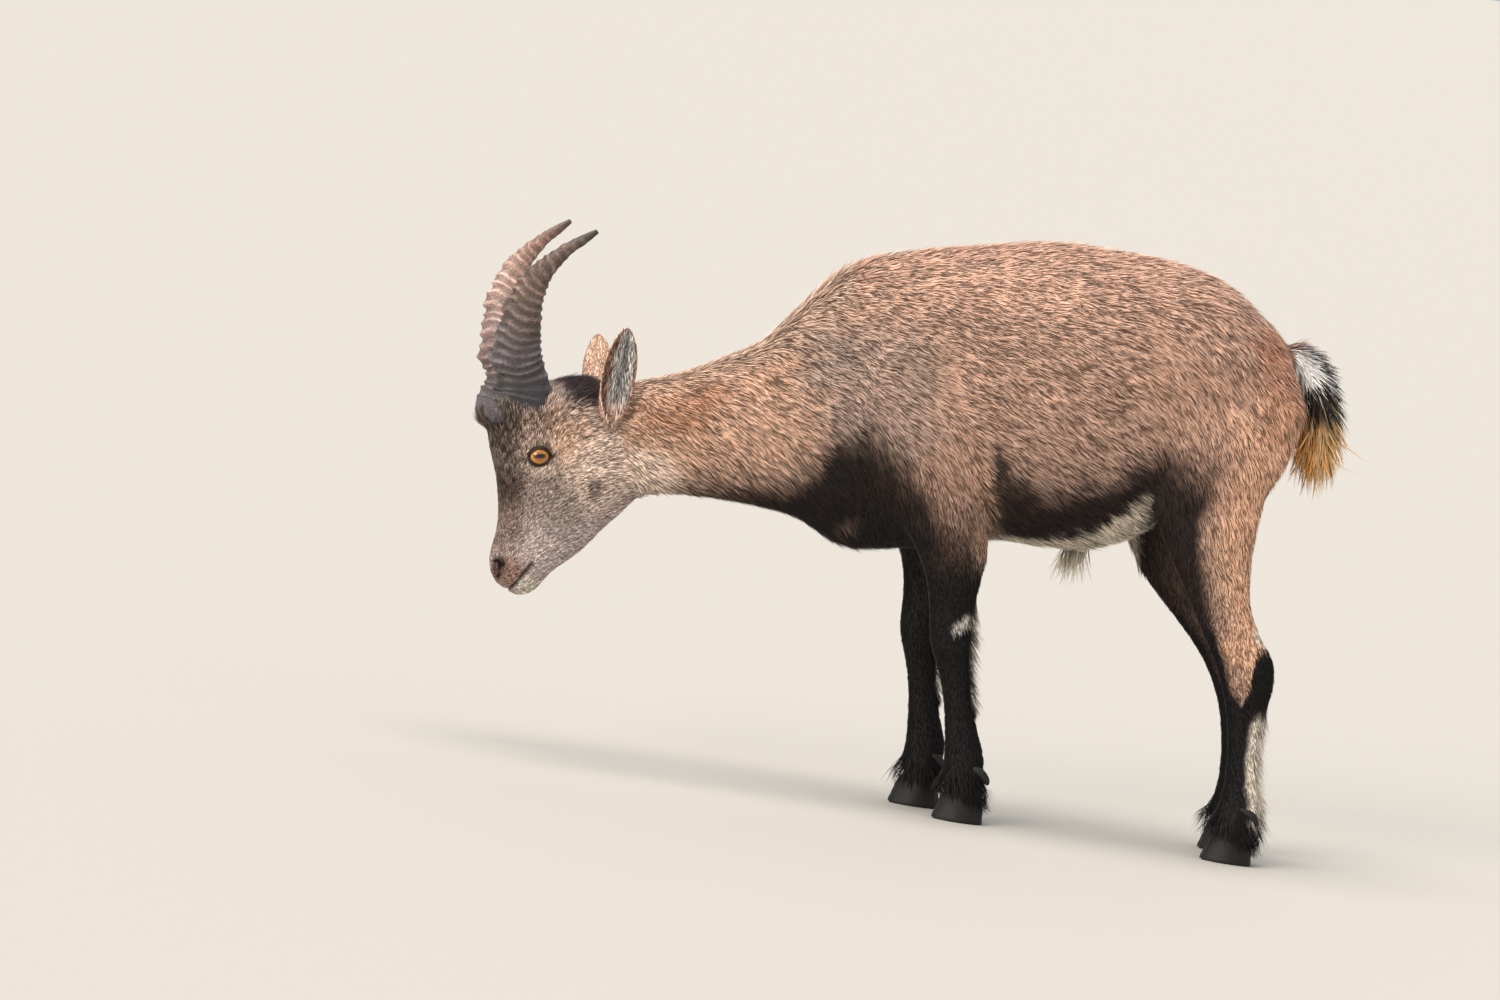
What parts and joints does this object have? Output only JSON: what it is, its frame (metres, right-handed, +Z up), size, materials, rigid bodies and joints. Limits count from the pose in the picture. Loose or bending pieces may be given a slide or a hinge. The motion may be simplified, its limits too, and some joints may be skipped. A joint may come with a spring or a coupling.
{
  "type": "alpine ibex",
  "caption": "Young male alpine ibex standing with its head lowered to graze, life size, still, on small flat soles.",
  "frame": {"origin": "on the floor, under the middle of the bounding box, at the level of the soles", "axes": "+X from head to tail, +Y to the animal's right side, +Z up"},
  "size_m": [1.148, 0.252, 0.7658],
  "materials": {
    "coat": "matte short grizzled brown hair on hide and flesh",
    "dark_coat": "matte short black-brown hair on hide and flesh",
    "tail_hair": "long black-brown hair with pale edges",
    "pale_hair": "long cream-white hair",
    "horn": "ridged grey-brown horn",
    "hoof": "dark blue-grey hoof horn",
    "eye": "wet amber iris with a dark level pupil"
  },
  "bodies": {
    "root": {"head": "coat", "neck": "coat", "torso": "coat", "tail": "tail_hair", "sheath_tuft": "pale_hair", "ear_left": "coat", "ear_right": "coat", "eye_left": "eye", "eye_right": "eye", "horn_left": "horn", "horn_right": "horn", "foreleg_left_upper": "coat", "foreleg_left_lower": "dark_coat", "foreleg_left_claw_inner": "hoof", "foreleg_left_claw_outer": "hoof", "foreleg_left_dewclaw_inner": "hoof", "foreleg_left_dewclaw_outer": "hoof", "foreleg_right_upper": "coat", "foreleg_right_lower": "dark_coat", "foreleg_right_claw_inner": "hoof", "foreleg_right_claw_outer": "hoof", "foreleg_right_dewclaw_inner": "hoof", "foreleg_right_dewclaw_outer": "hoof", "hindleg_left_upper": "coat", "hindleg_left_lower": "dark_coat", "hindleg_left_claw_inner": "hoof", "hindleg_left_claw_outer": "hoof", "hindleg_left_dewclaw_inner": "hoof", "hindleg_left_dewclaw_outer": "hoof", "hindleg_right_upper": "coat", "hindleg_right_lower": "dark_coat", "hindleg_right_claw_inner": "hoof", "hindleg_right_claw_outer": "hoof", "hindleg_right_dewclaw_inner": "hoof", "hindleg_right_dewclaw_outer": "hoof"}
  },
  "joints": []
}
